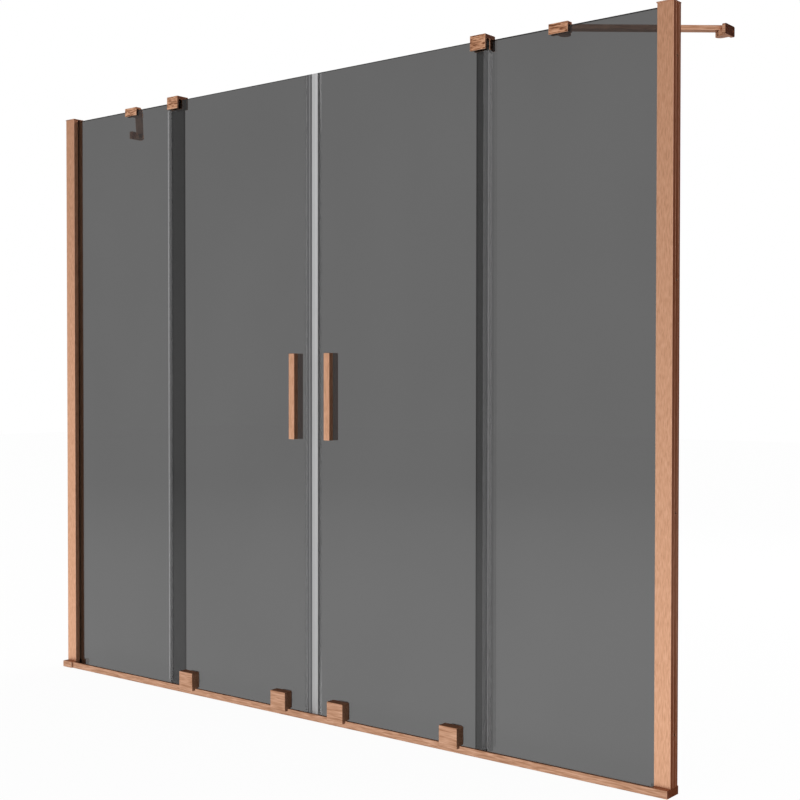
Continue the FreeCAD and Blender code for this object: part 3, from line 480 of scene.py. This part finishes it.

# Stabilisers. A saddle clamp on each fixed pane's top edge and a flange on the wall carry a flat bar between
# round knuckles, which turn on steel pins. Clamps are brushed by hand like the guides, bars along their
# length, and bars and flanges are plated in a copper colour. Painted shade darkens the flange's wall side.
CLAMP_EDGE = 0.0006
KNUCKLE_EDGE = 0.0005
PLATED_DARK = (0.55, 0.28, 0.16, 1)
PLATED_MID = (0.80, 0.47, 0.31, 1)
PLATED_PALE = (0.94, 0.62, 0.44, 1)
PLATED_TONES = (PLATED_DARK, PLATED_MID, PLATED_PALE)
PIVOT_PIN = {"chamfer": 0.0006, "socket": 0.0015, "depth": 0.0015}
RIGHTWARD = Vector((1, 0, 0))
copper_clamp = hand_brushed("copper_hand_brushed_clamp")
bar_low, bar_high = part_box("stabiliser_bar_right")
bar_slant = math.atan2(bar_high.y - bar_low.y, bar_high.x - bar_low.x)
for side, lean in zip(SIDES, (math.pi - bar_slant, bar_slant)):
    copper_bar = brushed_copper(f"copper_plated_bar_{side}", (0.0, 0.0, lean), PLATED_TONES)
    dress(f"stabiliser_bar_{side}", copper_bar, copper_edge_highlight, KNUCKLE_EDGE)
    dress(f"stabiliser_clamp_{side}", copper_clamp, copper_edge_highlight, CLAMP_EDGE)
    copper_flange = brushed_copper(f"copper_plated_flange_{side}", GRAIN_LEVEL, PLATED_TONES)
    flange_back = max(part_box(f"wall_flange_{side}"), key=lambda corner: abs(corner.x)).x
    # Painted shade on the flange's wall side.
    paint_shade_band(copper_flange, "X", flange_back - END_SHADE_DEPTH, flange_back + END_SHADE_DEPTH, END_PAINTED_SHADE)
    dress(f"wall_flange_{side}", copper_flange, copper_edge_highlight, CLAMP_EDGE)
turned_steel("stabiliser_pivot_pins", "stabiliser_pins", "frame", UPWARD, RIGHTWARD, headless_pin, PIVOT_PIN)

# Sliding panes. The same grey glass as the fixed ones, drilled for the handles and the roller blocks, and
# free to slide in front of them.
for side in SIDES:
    dress(f"door_glass_{side}", grey_glass)

# Seals of the doors. Extruded plastic profiles are pushed over the panes' upright edges: a smoky one with a
# fuller front lip and a flexible fin outside, and a pair of one milky plastic with magnet strips where the
# doors meet, the left one painted darker as shade.
SEAL_LINE = (0.0012, 0.0012, 8.0)
SEAL_DEPTH = 0.00005
SEAL_ROUGHNESS = (0.22, 0.34)
SMOKY_DARK = (0.28, 0.28, 0.285, 1)
SMOKY_PALE = (0.36, 0.36, 0.365, 1)
SMOKY_BODY = 0.22
LIP_BODIES = {"left": 0.95, "right": 0.40}
LIP_WIDTH = 0.0032
LIP_FRONT = (-0.0107, -0.0103)
# The left meeting seal: the milky plastic painted darker as shade.
SHADED_SEAL_DARK = (0.12, 0.12, 0.125, 1)
SHADED_SEAL_PALE = (0.14, 0.14, 0.145, 1)
SHADED_SEAL_REACH = 0.0152
MILKY_DARK = (0.61, 0.61, 0.615, 1)
MILKY_PALE = (0.68, 0.68, 0.685, 1)
MILKY_REACH = 0.0175
MEETING_BODY = 0.75
LEG_BODY = 0.06
LEG_FADE = 0.0003
MAGNET_DARK = (0.40, 0.405, 0.41, 1)
MAGNET_PALE = (0.50, 0.505, 0.51, 1)
MAGNET_ROUGHNESS = (0.5, 0.65)


def faded(tree, factor, start, end, low, high):
    return graded(tree, factor, start, end, low, high, "SMOOTHSTEP")


def seal_plastic(name, dark, pale):
    """Plastic with faint lines from its extrusion, and the socket that sets how much body it has."""
    material = moulded(name, SEAL_LINE, dark, pale, SEAL_ROUGHNESS, SEAL_DEPTH)
    tree = material.node_tree
    return material, tree, tree.nodes["Principled BSDF"].inputs["Alpha"]


def meeting_plastic(name, dark, pale, reach):
    """Plastic that is clear in the legs, past the given reach from the middle."""
    material, tree, body = seal_plastic(name, dark, pale)
    aside = arithmetic(tree, "ABSOLUTE", along_axes(tree, piece_place(tree))["X"])
    tree.links.new(faded(tree, aside, reach, reach + LEG_FADE, MEETING_BODY, LEG_BODY), body)
    return material


def lipped_plastic(name, lip_body):
    """Smoky plastic that has more body on the front of its outer lip."""
    material, tree, body = seal_plastic(name, SMOKY_DARK, SMOKY_PALE)
    axes = along_axes(tree, piece_place(tree))
    aside = arithmetic(tree, "ABSOLUTE", axes["X"])
    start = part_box("edge_seal_right")[1].x - LIP_WIDTH
    width = faded(tree, aside, start, start + LEG_FADE, 0.0, lip_body - SMOKY_BODY)
    front = faded(tree, axes["Y"], *LIP_FRONT, 1.0, 0.0)
    tree.links.new(arithmetic(tree, "MULTIPLY_ADD", width, front, SMOKY_BODY), body)
    return material


# The left meeting seal is painted darker as shade.
shaded_seal_plastic = meeting_plastic("plastic_painted_shade", SHADED_SEAL_DARK, SHADED_SEAL_PALE, SHADED_SEAL_REACH)
milky_plastic = meeting_plastic("plastic_milky", MILKY_DARK, MILKY_PALE, MILKY_REACH)
magnet_strip = moulded("magnet_light_grey", RUBBER_SPECK, MAGNET_DARK, MAGNET_PALE, MAGNET_ROUGHNESS,
                       RUBBER_DEPTH)
for side, middle_plastic in zip(SIDES, (shaded_seal_plastic, milky_plastic)):
    dress(f"edge_seal_{side}", lipped_plastic(f"plastic_smoky_{side}", LIP_BODIES[side]))
    dress(f"magnetic_seal_{side}", middle_plastic)
    dress(f"seal_magnet_{side}", magnet_strip)

# Handles. A flat bar with softly rounded edges stands on each face of a door, brushed upright in copper
# colour, and two screws from the bath side draw the pair together through the glass.
HANDLE_EDGE = 0.0003
HANDLE_SCREW = {"shank": 0.0025, "head": 0.003, "socket": 0.002, "depth": 0.0022}
for side in SIDES:
    for face in ("outer", "inner"):
        dress(f"handle_{face}_{side}", copper_upright, copper_edge_highlight, HANDLE_EDGE)
        keep_out_of_mirrors(f"handle_{face}_{side}")
    turned_steel(f"handle_fixing_screws_{side}", f"handle_screws_{side}", f"door_{side}", INTO_BATH, UPWARD,
                 socket_screw, HANDLE_SCREW)

# Roller blocks. Each housing is cast, milled and brushed level, hangs in front of the glass with a skirt
# before the rail, and is drawn to a plate behind the glass by two screws with rubber on both faces.
BLOCK_EDGE = 0.0003
PLATE_EDGE = 0.0005
BLOCK_SCREW = {"shank": 0.002, "head": 0.0016, "socket": 0.0013, "depth": 0.0012}
PLACES = ("inner", "outer")
for side in SIDES:
    for place in PLACES:
        dress(f"roller_block_{side}_{place}", copper_level_shaded, copper_edge_highlight, BLOCK_EDGE)
        keep_out_of_mirrors(f"roller_block_{side}_{place}")
    dress(f"block_plates_{side}", copper_level_shaded, copper_edge_highlight, PLATE_EDGE)
    dress(f"block_pads_{side}", black_rubber)
    turned_steel(f"block_fixing_screws_{side}", f"block_screws_{side}", f"door_{side}", INTO_BATH, UPWARD,
                 socket_screw, BLOCK_SCREW)

# Rollers. White acetal wheels run on the rail's front lip, each pressed over a sealed steel ball bearing
# that turns on a ground steel axle inside its block.
ACETAL_DARK = (0.70, 0.70, 0.67, 1)
ACETAL_PALE = (0.80, 0.80, 0.77, 1)
ACETAL_SPECK = (0.006, 0.006, 0.006)
ACETAL_ROUGHNESS = (0.32, 0.45)
WHEEL_EDGE = 0.0004
white_acetal = moulded("acetal_white", ACETAL_SPECK, ACETAL_DARK, ACETAL_PALE, ACETAL_ROUGHNESS, RUBBER_DEPTH)
for side in SIDES:
    dress(f"roller_axles_{side}", steel)
    for place in PLACES:
        dress(f"roller_wheel_{side}_{place}", white_acetal, white_acetal, WHEEL_EDGE)
        dress(f"roller_bearing_{side}_{place}", steel)

# Studio. A pale floor lies under the rail in a white surround. Soft lamps stand far to the left, near the
# camera on the right and over the bath side. In polished metal and glass one side of the studio is dim and
# brown, the floor glows with a painted pool of light and a painted shadow at the rail's foot and behind it,
# and the floor of the bath side is brighter.
WHITE = (1.0, 1.0, 1.0, 1)
STUDIO_DIM = (0.155, 0.072, 0.043, 1)
DIM_WAY = (0.5, 0.866, 0.0)
DIM_SPREAD = (-0.10, 0.30)
FLOOR_HALF = 14.0
FLOOR_DROP = 0.001
FLOOR_CORNERS = ((-1, -1), (1, -1), (1, 1), (-1, 1))
FLOOR_PAINT = (0.88, 0.88, 0.88, 1)
FLOOR_ROUGHNESS = 0.9
FLOOR_SHOWN = 0.95
# The floor's glow in reflections, with a painted pool of light near the screen.
FLOOR_LIGHT_POOL = (0.3, 8.0)
FLOOR_MIRROR = (1.30, 0.82)
FLOOR_FRONT = (-0.30, -0.06)
# Painted shadow on the floor at the rail's foot and behind it, as reflected.
FLOOR_FOOT_SHADOW = 0.90
FLOOR_REAR_SHADOW = (-0.035, -0.005)
FLOOR_JOIN = (2.0, 4.5)
BATH_SIDE = (0.5, 1.4)
BATH_REACH = (3.5, 8.0)
BATH_WAY = (1.0, -0.84, 0.0)
BATH_SPREAD = (-0.4, 0.5)
BATH_SHARE = 0.45
SURROUND_AMBIENT = 0.85
SURROUND_SHOWN = 1.0
SURROUND_LOW = (0.82, 0.82, 0.82, 1)
SURROUND_MIDDLE = (0.66, 0.66, 0.66, 1)
SURROUND_HIGH = (0.42, 0.31, 0.25, 1)
SURROUND_TONES = (SURROUND_LOW, SURROUND_MIDDLE, SURROUND_HIGH)
SURROUND_RISE = (0.0, 0.22, 0.42)
LAMP_AIM = Vector((0.0, 0.0, 0.75))


def vector_step(tree, operation, *vectors):
    step = tree.nodes.new("ShaderNodeVectorMath")
    step.operation = operation
    fill(tree, step.inputs, vectors)
    return step.outputs


def how_far(tree, vector, way):
    """How far a place or a direction goes one way."""
    return vector_step(tree, "DOT_PRODUCT", vector, way)["Value"]


def show_by_ray(tree, output, lit, plain, shown, mirrored):
    """A lit surface that looks plain by a share to the eye, and has its own look in metal and glass."""
    rays = tree.nodes.new("ShaderNodeLightPath").outputs
    eye = arithmetic(tree, "MAXIMUM", rays["Is Camera Ray"], rays["Is Transmission Ray"])
    seen = mix_shaders(tree, arithmetic(tree, "MULTIPLY", eye, shown), lit, plain)
    every = mix_shaders(tree, rays["Is Glossy Ray"], seen, mirrored)
    tree.links.new(every, tree.nodes[output].inputs["Surface"])


floor_mesh = bpy.data.meshes.new("studio_floor")
floor_corners = [(x * FLOOR_HALF, y * FLOOR_HALF, -FLOOR_DROP) for x, y in FLOOR_CORNERS]
floor_mesh.from_pydata(floor_corners, [], [range(len(floor_corners))])
floor = bpy.data.objects.new("studio_floor", floor_mesh)
bpy.context.scene.collection.objects.link(floor)
floor_paint, floor_tree, floor_surface = new_material("studio_floor")
floor_mesh.materials.append(floor_paint)
floor_surface.inputs["Base Color"].default_value = FLOOR_PAINT
floor_surface.inputs["Roughness"].default_value = FLOOR_ROUGHNESS
floor_surface.inputs["Specular IOR Level"].default_value = 0.0
floor_place = piece_place(floor_tree)
floor_depth = along_axes(floor_tree, floor_place)["Y"]
floor_reach = vector_step(floor_tree, "LENGTH", floor_place)["Value"]
floor_way = vector_step(floor_tree, "NORMALIZE", floor_place)["Vector"]
# Painted shadow behind the rail and at its foot, in the floor's reflected glow.
floor_rear_shadow = faded(floor_tree, floor_depth, *FLOOR_REAR_SHADOW, 0.0, 1.0)
floor_far = faded(floor_tree, floor_reach, *FLOOR_JOIN, 0.0, 1.0)
floor_side = faded(floor_tree, how_far(floor_tree, floor_way, DIM_WAY), *DIM_SPREAD, 0.0, 1.0)
floor_dim = overlay(floor_tree, "FLOAT", floor_far, floor_rear_shadow, floor_side)
bath_side = faded(floor_tree, floor_depth, *BATH_SIDE, 0.0, BATH_SHARE)
bath_reach = faded(floor_tree, floor_reach, *BATH_REACH, 1.0, 0.0)
bath_spread = faded(floor_tree, how_far(floor_tree, floor_place, BATH_WAY), *BATH_SPREAD, 1.0, 0.0)
bath_patch = arithmetic(floor_tree, "MULTIPLY", bath_reach, bath_spread)
bath_lit = arithmetic(floor_tree, "MULTIPLY", bath_side, bath_patch)
floor_shade = arithmetic(floor_tree, "SUBTRACT", floor_dim, bath_lit)
floor_light_pool = faded(floor_tree, floor_reach, *FLOOR_LIGHT_POOL, *FLOOR_MIRROR)
floor_foot_shadow = faded(floor_tree, floor_depth, *FLOOR_FRONT, 1.0, FLOOR_FOOT_SHADOW)
floor_plain = floor_tree.nodes.new("ShaderNodeEmission")
floor_mirror = floor_tree.nodes.new("ShaderNodeEmission")
floor_tone = shades(floor_tree, floor_shade, (0.0, 1.0), (WHITE, STUDIO_DIM))
floor_strength = arithmetic(floor_tree, "MULTIPLY", floor_light_pool, floor_foot_shadow)
floor_tree.links.new(floor_tone, floor_mirror.inputs["Color"])
floor_tree.links.new(floor_strength, floor_mirror.inputs["Strength"])
show_by_ray(floor_tree, "Material Output", floor_surface.outputs["BSDF"], floor_plain.outputs["Emission"],
            FLOOR_SHOWN, floor_mirror.outputs["Emission"])

world = bpy.data.worlds.new("studio_surround")
bpy.context.scene.world = world
world.cycles.sampling_method = "NONE"
world.use_nodes = True
sky = world.node_tree
sky_way = sky.nodes.new("ShaderNodeTexCoord").outputs["Generated"]
ambient = sky.nodes["Background"]
ambient.inputs["Color"].default_value = WHITE
ambient.inputs["Strength"].default_value = SURROUND_AMBIENT
backdrop = sky.nodes.new("ShaderNodeBackground")
backdrop.inputs["Color"].default_value = WHITE
reflected = sky.nodes.new("ShaderNodeBackground")
sky_dim = faded(sky, how_far(sky, sky_way, DIM_WAY), *DIM_SPREAD, 0.0, 1.0)
sky_rise = shades(sky, along_axes(sky, sky_way)["Z"], SURROUND_RISE, SURROUND_TONES)
sky.links.new(overlay(sky, "RGBA", sky_dim, sky_rise, STUDIO_DIM), reflected.inputs["Color"])
show_by_ray(sky, "World Output", ambient.outputs["Background"], backdrop.outputs["Background"],
            SURROUND_SHOWN, reflected.outputs["Background"])


def soft_lamp(name, place, size, power):
    lamp = bpy.data.lights.new(name, "AREA")
    lamp.shape = "RECTANGLE"
    lamp.size, lamp.size_y = size
    lamp.energy = power
    holder = bpy.data.objects.new(name, lamp)
    bpy.context.scene.collection.objects.link(holder)
    holder.location = place
    holder.rotation_euler = (LAMP_AIM - Vector(place)).to_track_quat("-Z", "Y").to_euler()


soft_lamp("left_lamp", place=(-5.6, -1.6, 0.55), size=(1.8, 0.9), power=12)
soft_lamp("right_lamp", place=(2.5, -2.6, 1.9), size=(1.2, 1.2), power=14)
soft_lamp("bath_side_lamp", place=(0.0, 3.4, 2.8), size=(2.4, 2.0), power=45)

# Camera at the photograph's standpoint: in front of the right half, a little over half the screen's height,
# turned to the left.
PICTURE_WIDTH = 800
PICTURE_CENTRE = (341.0, 403.4)
FOCAL_PIXELS = 1323.5
CAMERA_PLACE = (2.0275, -2.3073, 0.7898)
CAMERA_TURN = math.radians(40.19)
CAMERA_DIP = math.radians(1.043)
CAMERA_REACH = 100.0
LEVEL_LOOK = math.radians(90)
camera_data = bpy.data.cameras.new("photo_camera")
camera_data.lens = FOCAL_PIXELS / PICTURE_WIDTH * camera_data.sensor_width
camera_data.shift_x = (PICTURE_WIDTH / 2 - PICTURE_CENTRE[0]) / PICTURE_WIDTH
camera_data.shift_y = (PICTURE_CENTRE[1] - PICTURE_WIDTH / 2) / PICTURE_WIDTH
camera_data.clip_end = CAMERA_REACH
camera = bpy.data.objects.new("photo_camera", camera_data)
bpy.context.scene.collection.objects.link(camera)
camera.location = CAMERA_PLACE
camera.rotation_euler = (LEVEL_LOOK - CAMERA_DIP, 0.0, CAMERA_TURN)
bpy.context.scene.camera = camera
bpy.context.scene.view_settings.view_transform = "Standard"
